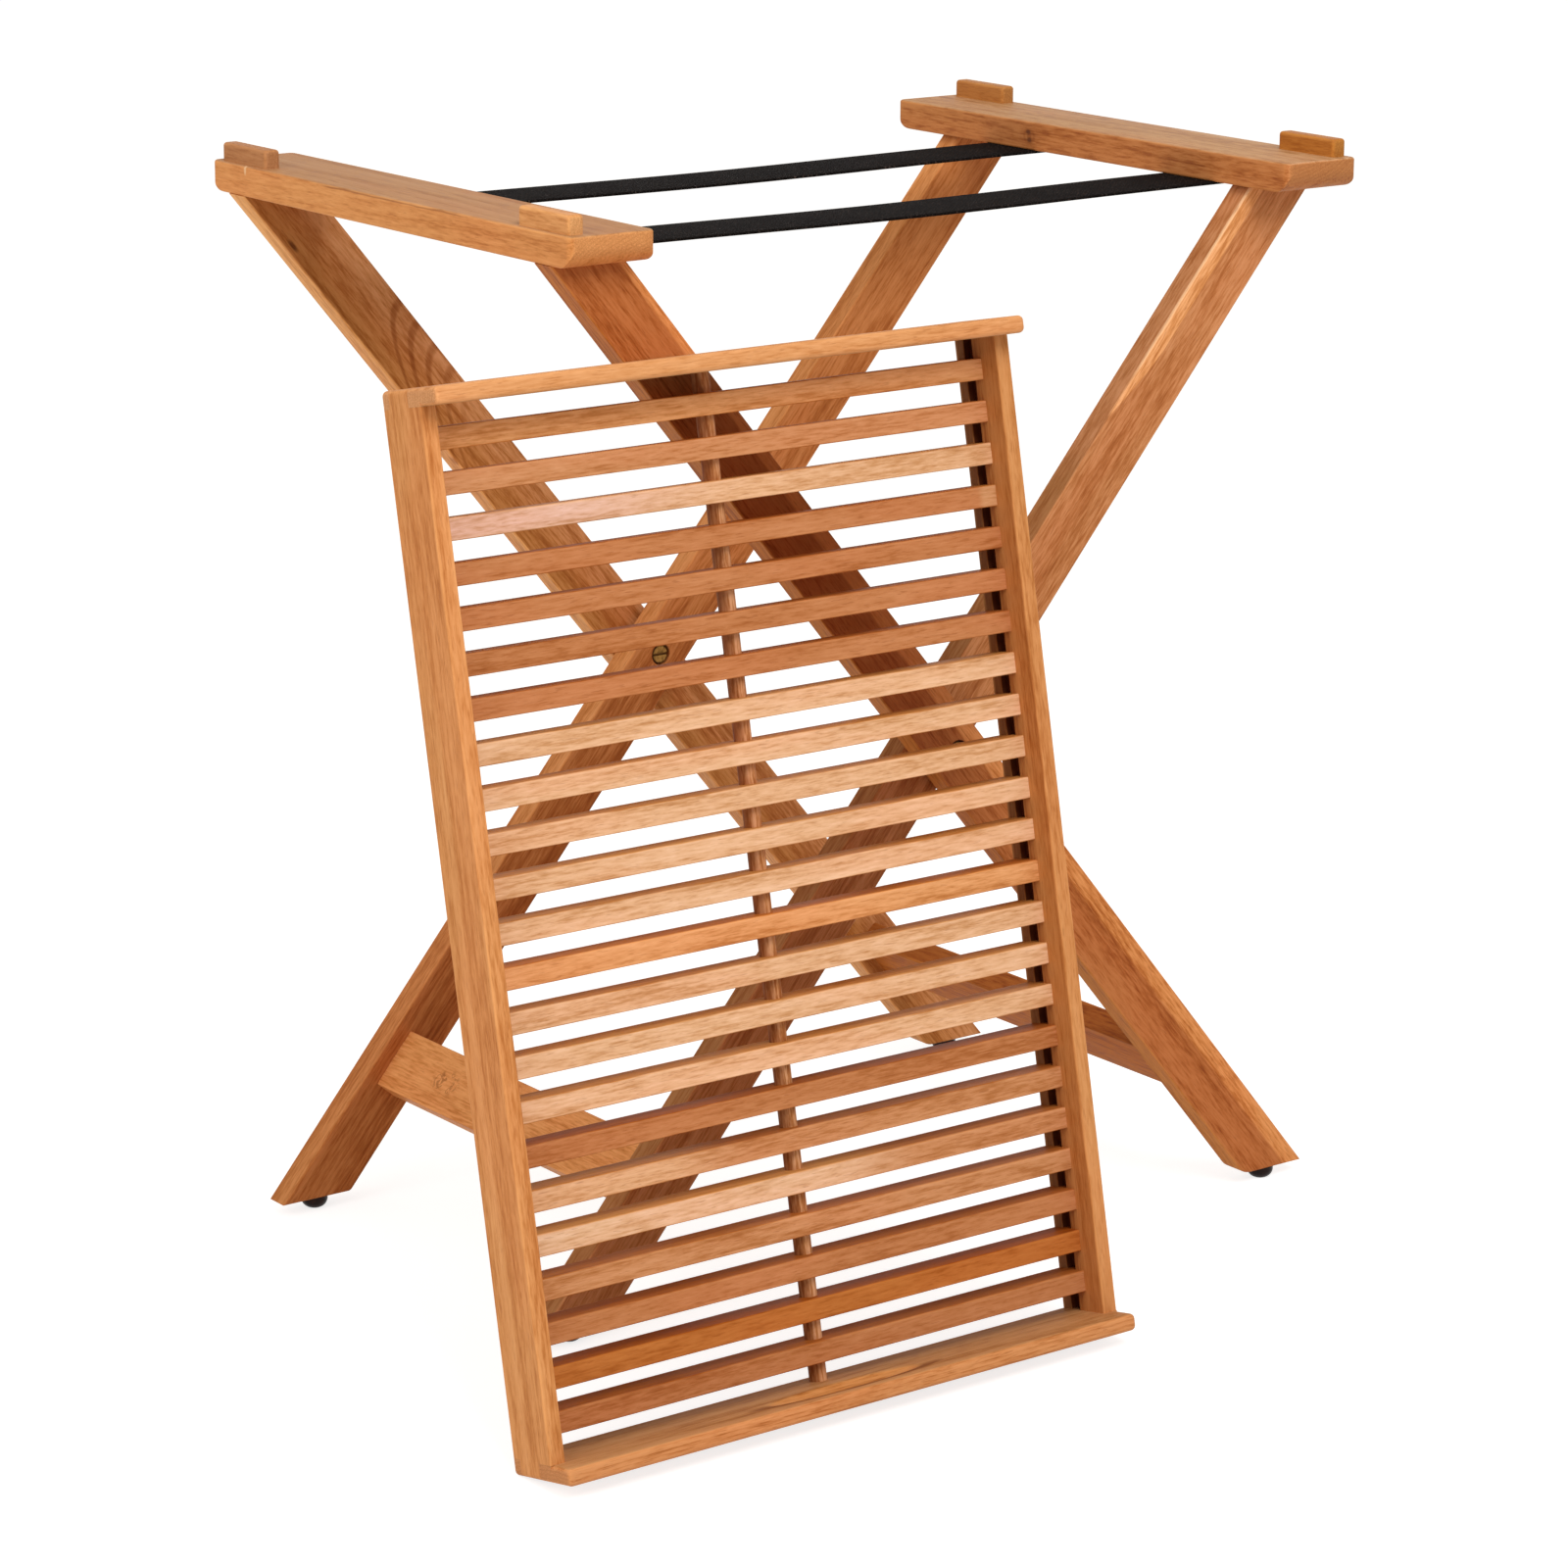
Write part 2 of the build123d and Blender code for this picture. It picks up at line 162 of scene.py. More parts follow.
def oiled_teak(piece, body, grain, width, streaks=0.4, specks=0.6, rings=0.0, ring_width=0.008,
               pith=(0.09, 0.03), ring_lean=0.0, ring_sway=0.012, polish=0.08, shift=0.0, marks=None):
    """Teak for one piece: fibres run along the grain, growth rings lie round a pith beside the board.

    The shift gives each board a figure of its own. Marks are placed in metres from the board's middle,
    along the grain, across the width and through the depth.
    """
    long_way, wide_way = Vector(grain).normalized(), Vector(width).normalized()
    turn = Matrix((long_way, wide_way, long_way.cross(wide_way)))
    reach = [turn @ corner.co for corner in solids[piece].data.vertices]
    low, high = (Vector(pick(r[i] for r in reach) for i in range(3)) for pick in (min, max))
    middle, half = (low + high) / 2, (high - low) / 2
    wood = bare_material("teak_" + piece)
    tree = wood.node_tree
    spot = wire(tree, "ShaderNodeTexCoord", {})
    placing = {"Vector": spot["Object"], "Location": -middle, "Rotation": turn.to_euler()}
    board = wire(tree, "ShaderNodeMapping", placing)[0]
    along, across, deep = wire(tree, "ShaderNodeSeparateXYZ", {0: board})

    def fibres(stretch, fineness, detail, rough=0.55):
        """Noise drawn out along the grain, from 0 to 1."""
        drawing = {"Vector": board, "Scale": (stretch, 1, 1), "Location": (shift, 0.37 * shift, 0.11 * shift)}
        return noise(tree, wire(tree, "ShaderNodeMapping", drawing)[0], fineness, detail, rough)

    # Growth rings: going out from the pith, each one darkens slowly towards its late wood
    from_pith = {0: board, 1: (0, 1, 1), 2: (0, -pith[0], -pith[1])}
    away = wire(tree, "ShaderNodeVectorMath", from_pith, operation="MULTIPLY_ADD")[0]
    radius = wire(tree, "ShaderNodeVectorMath", {0: away}, operation="LENGTH")["Value"]
    swayed = reckon(tree, "MULTIPLY_ADD", fibres(stretch=0.3, fineness=12, detail=2), ring_sway, radius)
    years = reckon(tree, "DIVIDE", reckon(tree, "MULTIPLY_ADD", along, ring_lean, swayed), ring_width)
    late = ramp(tree, reckon(tree, "FRACT", years), (0.0, grey(0.3)), (0.15, grey(0.0)), (0.75, grey(0.55)),
                (0.93, grey(1.0)), (1.0, grey(0.3)))

    # Colour: fine fibres over soft mottling and long streaks, the rings, a faint blush and dark pores.
    # Noise averages a half, so the broad and the fine sum both lie round nothing.
    tone = fibres(stretch=0.1, fineness=10, detail=2)
    streak = fibres(stretch=0.03, fineness=120, detail=3, rough=0.5)
    mottle = fibres(stretch=0.12, fineness=130, detail=3)
    fleck = fibres(stretch=0.11, fineness=620, detail=3, rough=0.65)
    pore = fibres(stretch=0.08, fineness=1300, detail=1)
    broad = reckon(tree, "MULTIPLY_ADD", streak, 1.1, reckon(tree, "MULTIPLY_ADD", tone, 0.9, -1.0))
    fine = reckon(tree, "MULTIPLY_ADD", mottle, 0.6, reckon(tree, "MULTIPLY_ADD", fleck, 1.8, -1.2))
    figure = reckon(tree, "MULTIPLY_ADD", broad, streaks, reckon(tree, "MULTIPLY_ADD", fine, specks, 0.5))
    figure = reckon(tree, "MULTIPLY_ADD", reckon(tree, "SUBTRACT", late, 0.35), -rings, figure)
    darkest, darker = tint(body, (0.56, 0.39, 0.23)), tint(body, (0.8, 0.7, 0.56))
    paler = tint(body, (1.15, 1.26, 1.44))
    colour = ramp(tree, figure, (0.0, darkest), (0.3, darker), (0.5, tint(body)), (0.8, paler))
    blush = fade(tree, fibres(stretch=0.2, fineness=30, detail=1), 0.42, 0.62, high=0.5)
    colour = glaze(tree, blush, colour, (1.03, 0.92, 0.9))
    if marks:
        colour = marks(tree, along, across, deep, colour)
    pits = fade(tree, pore, 0.62, 0.73)
    pit_strength, pit_colour = 0.35, tint(body, (0.5, 0.34, 0.2))
    colour = lay(tree, reckon(tree, "MULTIPLY", pits, pit_strength), colour, pit_colour)

    # Wear: the arrises, where the second smallest distance from a face is small, are rubbed pale in patches
    rims = [reckon(tree, "SUBTRACT", size, reckon(tree, "ABSOLUTE", way))
            for size, way in zip(half, (along, across, deep))]
    nearer, farther = reckon(tree, "MINIMUM", *rims[:2]), reckon(tree, "MAXIMUM", *rims[:2])
    arris = reckon(tree, "MAXIMUM", nearer, reckon(tree, "MINIMUM", farther, rims[2]))
    rubbed = both(tree, fade(tree, arris, 0.0022, 0.0002), fade(tree, mottle, 0.4, 0.62, 0.05, 0.45))
    colour = lay(tree, rubbed, colour, tint(body, (1.3, 1.42, 1.55)))

    # End grain: dots and narrow arcs where the fibres are cut across
    squareness = {0: spot["Normal"], 1: long_way}
    facing = wire(tree, "ShaderNodeVectorMath", squareness, operation="DOT_PRODUCT")["Value"]
    cut = fade(tree, reckon(tree, "ABSOLUTE", facing), 0.75, 0.95, high=0.75)
    dots = fade(tree, fibres(stretch=1.0, fineness=1300, detail=1), 0.35, 0.7)
    endwise = lay(tree, dots, tint(body, (0.78, 0.8, 0.88)), tint(body, (1.1, 1.22, 1.45)))
    arcs = fade(tree, waves(tree, swayed, length=0.0023), 0.0, 1.0, high=0.4)
    endwise = lay(tree, arcs, endwise, tint(body, (0.68, 0.64, 0.62)))
    colour = lay(tree, cut, colour, endwise)

    rough = fade(tree, reckon(tree, "ADD", fleck, tone), 0.8, 1.2, 0.48, 0.66)
    height = reckon(tree, "SUBTRACT", reckon(tree, "MULTIPLY", fleck, 0.5), pits)
    coat(tree, colour, rough, height, strength=0.22, depth=0.0004, shine=polish)
    dress(piece, wood)


def rail_top(tree, deep):
    """Full on the upper face of a rail."""
    return fade(tree, deep, -0.0082, -0.0091)


def left_rail_marks(tree, along, across, deep, colour):
    """Painted sheen and shade: a greyer, darker top. Also a dark hair line under its arris and a chip beside
    the far peg.
    """
    # Painted sheen and shade: the upper face is glazed greyer and darker
    colour = glaze(tree, rail_top(tree, deep), colour, (0.67, 0.79, 1.06))
    outer_edge = fade(tree, across, -0.0265, -0.0275)
    line_depth, line_waver = -0.0073, 0.0015
    lengthwise = wire(tree, "ShaderNodeCombineXYZ", {0: along})[0]
    waver = noise(tree, lengthwise, fineness=40, detail=1)
    from_line = reckon(tree, "MULTIPLY_ADD", waver, line_waver, reckon(tree, "SUBTRACT", deep, line_depth))
    line = fade(tree, reckon(tree, "ABSOLUTE", from_line), 0.0007, 0.0002, high=0.6)
    length = both(tree, fade(tree, along, 0.075, 0.055), fade(tree, along, -0.1, -0.07))
    colour = lay(tree, both(tree, line, length, outer_edge), colour, tint("6E3A1A"))
    from_chip = oval(tree, along, deep, middle=(0.1536, -0.0072), size=(0.0014, 0.0034))
    chip = fade(tree, from_chip, 1.2, 0.5, high=0.6)
    return lay(tree, both(tree, chip, outer_edge), colour, tint("E8C69C"))


def right_rail_marks(tree, along, across, deep, colour):
    """Painted light and sheen: a paler top and near end. Also a double knot in the edge with the grain
    swirling round it.
    """
    near_end = fade(tree, along, -0.1905, -0.1925)
    # Painted light and sheen: the upper face and the near end are glazed paler and greyer
    colour = glaze(tree, rail_top(tree, deep), colour, (1.05, 1.5, 2.4))
    colour = glaze(tree, near_end, colour, (1.14, 1.25, 1.5))
    inner_edge = fade(tree, across, -0.022, -0.026)
    from_knot = oval(tree, along, deep, middle=(0.0544, 0.0004), size=(0.011, 0.009))
    ripples = 17.0
    swirl = reckon(tree, "SINE", reckon(tree, "MULTIPLY", from_knot, ripples))
    halo = both(tree, fade(tree, from_knot, 1.0, 0.15), fade(tree, swirl, -1.0, 1.0, 0.35, 0.9))
    colour = glaze(tree, both(tree, halo, inner_edge), colour, (0.66, 0.54, 0.42))
    for heart in ((0.0552, -0.0022), (0.0540, 0.0028)):
        from_heart = oval(tree, along, deep, middle=heart, size=(0.0026, 0.0018))
        dark = fade(tree, from_heart, 1.3, 0.4, high=0.85)
        colour = lay(tree, both(tree, dark, inner_edge), colour, tint("5A2C12"))
    return colour


front_to_back, crosswise = (0, 1, 0), (1, 0, 0)
oiled_teak("left_rail", "CC884C", front_to_back, crosswise, streaks=0.6, specks=0.7, rings=0.18,
           ring_width=0.006, pith=(0.06, 0.1), ring_lean=0.03, polish=0.2, shift=1.3,
           marks=left_rail_marks)
oiled_teak("right_rail", "B06E39", front_to_back, crosswise, streaks=0.6, specks=1.1, rings=0.2,
           ring_width=0.005, pith=(-0.03, -0.07), ring_lean=0.02, polish=0.2, shift=4.1,
           marks=right_rail_marks)


# Pegs: four short teak blocks glued on top of the rails near their ends, with softened corners.
# The first and last gaps of the tray drop over them, so the tray can't slide on the stand.
oiled_teak("peg_left_near", "D2965B", front_to_back, crosswise, polish=0.15, shift=7.7)
oiled_teak("peg_left_far", "AE7548", front_to_back, crosswise, polish=0.15, shift=9.2)
oiled_teak("peg_right_near", "B0702C", front_to_back, crosswise, polish=0.15, shift=11.4)
oiled_teak("peg_right_far", "B2753A", front_to_back, crosswise, polish=0.15, shift=12.9)


# Legs: four straight teak bars in two crossed pairs, each tenoned into its rail above and cut to a
# rounded foot below. Pale sapwood was left along an edge of two of them.
def counterbore_shadow(tree, along, across, colour):
    """Painted shadow: a dark ring on the leg round the head in the pivot's counterbore."""
    from_pivot = oval(tree, along, across, middle=(-0.0019, 0), size=(0.0071, 0.0071))
    # Painted shadow in the counterbore
    return lay(tree, fade(tree, from_pivot, 1.03, 0.96, high=0.9), colour, tint("3C1406"))


def lit_upper_face(tree, along, across, deep, colour):
    """Painted light: the narrow upper face is glazed paler, with painted shadow round the pivot."""
    upper_face = fade(tree, across, 0.0182, 0.0189)
    # Painted light on the upper face
    colour = glaze(tree, upper_face, colour, (1.12, 1.28, 1.4))
    return counterbore_shadow(tree, along, across, colour)


def olive_heartwood(tree, along, across, deep, colour):
    """Olive along the lower edge, with arches in the grain of the front, a knot, and the underside painted
    paler as lit from the floor.
    """
    lower_edge = fade(tree, across, 0.006, -0.014, high=0.8)
    colour = glaze(tree, lower_edge, colour, (0.88, 0.88, 0.68))
    upper_edge = fade(tree, across, -0.002, 0.014)
    colour = glaze(tree, upper_edge, colour, (1.06, 1.16, 1.34))
    arch_line, arch_top, arch_spread, arch_gap = 0.0165, 0.3085, 0.019, 0.020
    off_line = reckon(tree, "SUBTRACT", across, arch_line)
    drop = reckon(tree, "DIVIDE", reckon(tree, "MULTIPLY", off_line, off_line), arch_spread)
    below = reckon(tree, "SUBTRACT", reckon(tree, "SUBTRACT", arch_top, along), drop)
    arches = fade(tree, waves(tree, below, arch_gap), 0.1, 1.0, high=0.8)
    length = both(tree, fade(tree, below, -0.001, 0.004), fade(tree, below, 0.11, 0.05))
    front = fade(tree, deep, 0.0, -0.006)
    colour = glaze(tree, both(tree, arches, length, front), colour, (0.62, 0.48, 0.34))
    from_knot = oval(tree, along, across, middle=(0.3834, -0.0142), size=(0.006, 0.0018))
    colour = lay(tree, fade(tree, from_knot, 1.2, 0.3, high=0.75), colour, tint("4A220C"))
    # Painted light: the underside is glazed paler, as lit from the floor below
    underside = fade(tree, across, -0.0178, -0.0187)
    colour = glaze(tree, underside, colour, (1.68, 2.05, 2.6))
    return counterbore_shadow(tree, along, across, colour)


def sapwood_right(tree, along, across, deep, colour):
    """Sapwood along the upper edge of the front, narrower towards the rail, and the underside painted paler
    as lit from the floor.
    """
    beyond = reckon(tree, "SUBTRACT", across, fade(tree, along, 0.07, 0.40, 0.0075, 0.0142))
    front = fade(tree, deep, -0.003, -0.005)
    sapwood = both(tree, fade(tree, beyond, -0.0012, 0.0016), front)
    colour = glaze(tree, sapwood, colour, (1.5, 1.8, 2.0))
    # Painted light: the underside is glazed paler, as lit from the floor below
    underside = fade(tree, across, -0.0182, -0.0187)
    colour = glaze(tree, underside, colour, (1.25, 1.45, 1.2))
    return counterbore_shadow(tree, along, across, colour)


def sapwood_left(tree, along, across, deep, colour):
    """Sapwood along the upper edge of the front, wider towards the rail, with a painted highlight on its
    arris near the rail; the upper face has painted shade and is dark low down.
    """
    beyond = reckon(tree, "SUBTRACT", across, fade(tree, along, 0.205, 0.285, 0.0205, 0.0097))
    front = fade(tree, deep, 0.0062, 0.0074)
    sapwood = both(tree, fade(tree, beyond, -0.0002, 0.0006), front)
    colour = glaze(tree, sapwood, colour, (1.5, 1.75, 1.9))
    # Painted highlight: a bright line along the arris near the rail
    arris_highlight = both(tree, fade(tree, across, 0.0178, 0.0184), front)
    near_rail = fade(tree, along, 0.24, 0.28, high=0.7)
    colour = lay(tree, both(tree, arris_highlight, near_rail), colour, tint("F2C79A"))
    # Painted shade: the upper face is glazed a little darker
    upper_face = fade(tree, across, 0.0184, 0.0189)
    colour = glaze(tree, upper_face, colour, (0.88, 0.9, 0.95))
    dark_face = both(tree, fade(tree, across, 0.0182, 0.0189), fade(tree, along, 0.21, 0.17))
    colour = glaze(tree, dark_face, colour, (0.7, 0.68, 0.52))
    return counterbore_shadow(tree, along, across, colour)


leg_slope = math.radians(40)
climbs_left = (-math.sin(leg_slope), 0, math.cos(leg_slope))
climbs_right = (math.sin(leg_slope), 0, math.cos(leg_slope))
upper_right = (math.cos(leg_slope), 0, math.sin(leg_slope))
upper_left = (-math.cos(leg_slope), 0, math.sin(leg_slope))
oiled_teak("outer_leg_far", "C3804C", climbs_left, upper_right, streaks=0.7, specks=0.75, rings=0.15,
           shift=15.0, marks=olive_heartwood)
oiled_teak("outer_leg_near", "B06837", climbs_left, upper_right, streaks=1.0, specks=0.95, rings=0.1,
           shift=18.0, marks=sapwood_right)
oiled_teak("inner_leg_far", "BF7742", climbs_right, upper_left, streaks=0.9, specks=0.7, rings=0.12,
           shift=21.0, marks=lit_upper_face)
oiled_teak("inner_leg_near", "C28253", climbs_right, upper_left, streaks=0.7, specks=0.75, rings=0.1,
           shift=24.0, marks=sapwood_left)


# Stretchers: a flat teak bar between the feet of each pair of legs, stub-tenoned into their faces.
# They lie in the slope of the legs and keep each frame square. The left one has a few pin knots.
def off(tree, value, mark):
    """How far a value is from a mark, either way."""
    return reckon(tree, "ABSOLUTE", reckon(tree, "SUBTRACT", value, mark))


def pin_knots(tree, along, across, deep, colour):
    """Dark curls in one patch of the outer face."""
    face = wire(tree, "ShaderNodeCombineXYZ", {0: along, 1: across})[0]
    curls = noise(tree, face, fineness=110, detail=2, rough=0.6, curl=1.2)
    outlines = fade(tree, off(tree, curls, 0.46), 0.06, 0.01, high=0.6)
    from_patch = oval(tree, along, across, middle=(0.0735, -0.0007), size=(0.015, 0.009))
    patch = fade(tree, from_patch, 1.1, 0.6)
    outer_face = fade(tree, deep, -0.006, -0.0075)
    return lay(tree, both(tree, outlines, patch, outer_face), colour, tint("8A4E22"))


def shaded_upper_edge(tree, along, across, deep, colour):
    """Painted shade: the narrow upper face is glazed darker."""
    # Painted shade on the upper face
    return glaze(tree, fade(tree, across, 0.0185, 0.0195), colour, (0.64, 0.58, 0.58))


oiled_teak("left_stretcher", "DE9659", front_to_back, climbs_right, specks=0.65, rings=0.1, pith=(0.0, -0.05),
           shift=27.0, marks=pin_knots)
oiled_teak("right_stretcher", "B66C2E", front_to_back, climbs_left, streaks=0.8, specks=1.0, shift=30.0,
           marks=shaded_upper_edge)


# Glides: a domed foot of dark moulded plastic nailed into the end of each leg,
# so the stand slides on a floor without marking it.
plastic = bare_material("glide_plastic")
tree = plastic.node_tree
spot = wire(tree, "ShaderNodeTexCoord", {})["Object"]
mould = noise(tree, spot, fineness=1400, detail=2)
scuffs = noise(tree, spot, fineness=160, detail=4)
colour = lay(tree, fade(tree, scuffs, 0.5, 0.75), tint("1C0D0A"), tint("301A14"))
rough = fade(tree, scuffs, 0.3, 0.7, 0.22, 0.42)
coat(tree, colour, rough, mould, strength=0.15, depth=0.0003, shine=0.12)
for pair in ("outer", "inner"):
    for end in ("near", "far"):
        dress(f"glide_{pair}_{end}", plastic)


# Pivots: a slotted brass screw and barrel through each crossing of the legs, their heads sunk in
# counterbores, with a brass washer between the legs. The brass has dulled.
brass = bare_material("dulled_brass")
tree = brass.node_tree
spot = wire(tree, "ShaderNodeTexCoord", {})["Object"]
tarnish = noise(tree, spot, fineness=420, detail=5, rough=0.65)
brushed = wire(tree, "ShaderNodeMapping", {"Vector": spot, "Scale": (0.08, 1, 1)})[0]
scratches = noise(tree, brushed, fineness=3200, detail=1)
colour = lay(tree, fade(tree, tarnish, 0.42, 0.66), tint("8E6634"), tint("62431E"))
across, _, upright = wire(tree, "ShaderNodeSeparateXYZ", {0: spot})
stand_middle, pivot_height, head_radius = 0.05575, 0.326, 0.0058
from_axis = oval(tree, across, upright, (stand_middle, pivot_height), (head_radius, head_radius))
# Painted shade: a dark slot across the head and a dark rim where the counterbore shades it
slot_shade = fade(tree, off(tree, upright, pivot_height), 0.0009, 0.0006, high=0.85)
rim_shadow = fade(tree, from_axis, 0.86, 0.97, high=0.8)
colour = lay(tree, reckon(tree, "MAXIMUM", slot_shade, rim_shadow), colour, tint("3A1C0A"))
rough = fade(tree, tarnish, 0.35, 0.7, 0.28, 0.5)
coat(tree, colour, rough, scratches, strength=0.12, depth=0.0002, metal=1.0)
for piece in ("barrel", "screw", "washer"):
    for end in ("near", "far"):
        dress(f"pivot_{piece}_{end}", brass)


# Straps: two lengths of black cotton webbing, woven flat with firm selvedges, drawn tight between the rails
# and lapped under them. They stop the legs from spreading, and hang in a loop when the stand is folded.
webbing = bare_material("black_webbing")
tree = webbing.node_tree
cloth = wire(tree, "ShaderNodeUVMap", {}, uv_map="UVMap")[0]
lengthwise, sideways, _ = wire(tree, "ShaderNodeSeparateXYZ", {0: cloth})
thread = 0.0013
weave = both(tree, waves(tree, lengthwise, 2 * thread), waves(tree, sideways, 2 * thread))
lint = noise(tree, cloth, fineness=600, detail=3, rough=0.7)
dust = noise(tree, cloth, fineness=45, detail=3)
colour = lay(tree, fade(tree, weave, -0.6, 0.9, high=0.6), tint("0C0908"), tint("1B1615"))
linty = both(tree, fade(tree, lint, 0.54, 0.7), fade(tree, dust, 0.35, 0.65, 0.25, 0.9))
colour = lay(tree, linty, colour, tint("564A45"))
rough = fade(tree, lint, 0.3, 0.7, 0.65, 0.9)
height = reckon(tree, "ADD", weave, reckon(tree, "MULTIPLY", lint, 0.8))
coat(tree, colour, rough, height, strength=0.5, depth=0.0004, shine=0.02)

# The band: a line from rail to rail that sags a little, with a flat, round-edged section swept along it
knitting = bpy.data.node_groups.new("webbing_strap", "GeometryNodeTree")
asked = {"Left end": "Vector", "Right end": "Vector", "Width": "Float", "Thickness": "Float", "Sag": "Float",
         "Steps": "Int", "Cloth": "Material"}
for name, kind in asked.items():
    knitting.interface.new_socket(name, in_out="INPUT", socket_type="NodeSocket" + kind)
knitting.interface.new_socket("Strap", in_out="OUTPUT", socket_type="NodeSocketGeometry")
given = wire(knitting, "NodeGroupInput", {})
ends = {"Start": given["Left end"], "End": given["Right end"]}
run = wire(knitting, "GeometryNodeCurvePrimitiveLine", ends)[0]
run = wire(knitting, "GeometryNodeResampleCurve", {"Curve": run, "Count": given["Steps"]})[0]
part_way = wire(knitting, "GeometryNodeSplineParameter", {})["Factor"]
arch = reckon(knitting, "SINE", reckon(knitting, "MULTIPLY", part_way, math.pi))
level_at_ends = reckon(knitting, "POWER", arch, 3.0)
drop = reckon(knitting, "MULTIPLY", level_at_ends, given["Sag"])
lower = wire(knitting, "ShaderNodeCombineXYZ", {2: reckon(knitting, "MULTIPLY", drop, -1.0)})[0]
run = wire(knitting, "GeometryNodeSetPosition", {"Geometry": run, "Offset": lower})[0]
section = {"Width": given["Width"], "Height": given["Thickness"]}
edge_on = wire(knitting, "GeometryNodeCurvePrimitiveQuadrilateral", section)[0]
nearly_half = reckon(knitting, "MULTIPLY", given["Thickness"], 0.48)
selvedges = {"Curve": edge_on, "Count": 3, "Radius": nearly_half}
edge_on = wire(knitting, "GeometryNodeFilletCurve", selvedges, mode="POLY")[0]
swept = {"Curve": run, "Profile Curve": edge_on, "Fill Caps": True}
band = wire(knitting, "GeometryNodeCurveToMesh", swept)[0]
where = wire(knitting, "GeometryNodeInputPosition", {})[0]
measured = {"Geometry": band, "Name": "UVMap", "Value": where}
band = wire(knitting, "GeometryNodeStoreNamedAttribute", measured, data_type="FLOAT2", domain="CORNER")[0]
band = wire(knitting, "GeometryNodeRealizeInstances", {"Geometry": band})[0]
band = wire(knitting, "GeometryNodeSetMaterial", {"Geometry": band, "Material": given["Cloth"]})[0]
wire(knitting, "NodeGroupOutput", {"Strap": band})

sag, steps = 0.0015, 90
for side in ("near", "far"):
    low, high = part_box("strap_" + side)
    middle, height = (low.y + high.y) / 2, (low.z + high.z) / 2
    sizes = {"Left end": (low.x, middle, height), "Right end": (high.x, middle, height),
             "Width": high.y - low.y, "Thickness": high.z - low.z, "Sag": sag, "Steps": steps,
             "Cloth": webbing}
    maker = bpy.data.objects.new("strap_maker", bpy.data.meshes.new("strap_maker"))
    bpy.context.scene.collection.objects.link(maker)
    strap_nodes = maker.modifiers.new("strap", "NODES")
    strap_nodes.node_group = knitting
    for socket in knitting.interface.items_tree:
        if socket.name in sizes:
            strap_nodes[socket.identifier] = sizes[socket.name]
    made = bpy.data.meshes.new_from_object(maker.evaluated_get(bpy.context.evaluated_depsgraph_get()))
    strap = bpy.data.objects.new(f"webbing_strap_{side}", made)
    bpy.context.scene.collection.objects.link(strap)
    bpy.data.objects.remove(maker)
    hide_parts("strap_" + side)
    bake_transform(strap)


# Tray boards: two long side boards and two end boards of teak, finger-jointed at the corners.
# The sides are grooved for the slats, the ends scooped for the fingers, and all are rubbed with oil.
def shade_inside(inner_side):
    """Painted shade: the inner face is darker, darker still behind the slats, and the groove nearly black.

    The inner side is 1 or -1 along the board's depth.
    """
    def marks(tree, along, across, deep, colour):
        inward = reckon(tree, "MULTIPLY", deep, inner_side)
        inner_face = fade(tree, inward, 0.0042, 0.0048)
        # Painted shade on the inner face, more behind the slats and most in the groove
        colour = glaze(tree, inner_face, colour, (0.84, 0.76, 0.62))
        shade_behind_slats = both(tree, inner_face, fade(tree, across, -0.0114, -0.0118))
        colour = glaze(tree, shade_behind_slats, colour, (0.62, 0.66, 0.75))
        cut_in = both(tree, fade(tree, inward, 0.0049, 0.004), fade(tree, inward, -0.0006, -0.0002))
        groove_middle = -0.00735
        groove = both(tree, cut_in, fade(tree, off(tree, across, groove_middle), 0.0046, 0.0043))
        return lay(tree, groove, colour, tint("60301A"))
    return marks


def scooped(inner_side):
    """Tints the inner face, with painted light inside the hollow for the fingers and painted shade along its
    lip towards the tray's front.

    The inner side is 1 or -1 along the board's depth.
    """
    def marks(tree, along, across, deep, colour):
        inward = reckon(tree, "MULTIPLY", deep, inner_side)
        inner_half = fade(tree, inward, 0.0012, 0.002)
        inner_face = fade(tree, inward, 0.0044, 0.0049)
        colour = glaze(tree, inner_face, colour, (0.84, 0.95, 1.0))
        scoop = oval(tree, along, across, middle=(0.0, 0.0095), size=(0.0575, 0.0100))
        # Painted light inside the hollow and painted shade along its near lip
        hollow = both(tree, inner_half, fade(tree, scoop, 1.0, 0.85))
        colour = glaze(tree, hollow, colour, (1.05, 1.08, 0.95))
        lip = fade(tree, off(tree, scoop, 1.06), 0.22, 0.06, high=0.85)
        lip = both(tree, lip, inner_half, fade(tree, across, 0.006, 0.013))
        return glaze(tree, lip, colour, (0.5, 0.36, 0.24))
    return marks


tray_lean = math.radians(11.75)
up_tray = (0, math.sin(tray_lean), math.cos(tray_lean))
out_tray = (0, -math.cos(tray_lean), math.sin(tray_lean))
oiled_teak("tray_side_left", "CE8D55", up_tray, out_tray, streaks=0.8, specks=0.6, rings=0.08,
           pith=(0.15, 0.02), shift=33.0, marks=shade_inside(1))
oiled_teak("tray_side_right", "C4854F", up_tray, out_tray, streaks=0.8, specks=0.6, rings=0.08,
           pith=(0.15, 0.02), shift=36.0, marks=shade_inside(-1))
oiled_teak("tray_end_bottom", "C07E4A", crosswise, out_tray, streaks=0.8, specks=0.8, rings=0.3,
           ring_width=0.0026, pith=(0.01, 0.12), ring_sway=0.003, polish=0.12, shift=39.0, marks=scooped(-1))
oiled_teak("tray_end_top", "CD8E59", crosswise, out_tray, streaks=0.7, specks=0.6, rings=0.15,
           polish=0.12, shift=42.0, marks=scooped(1))


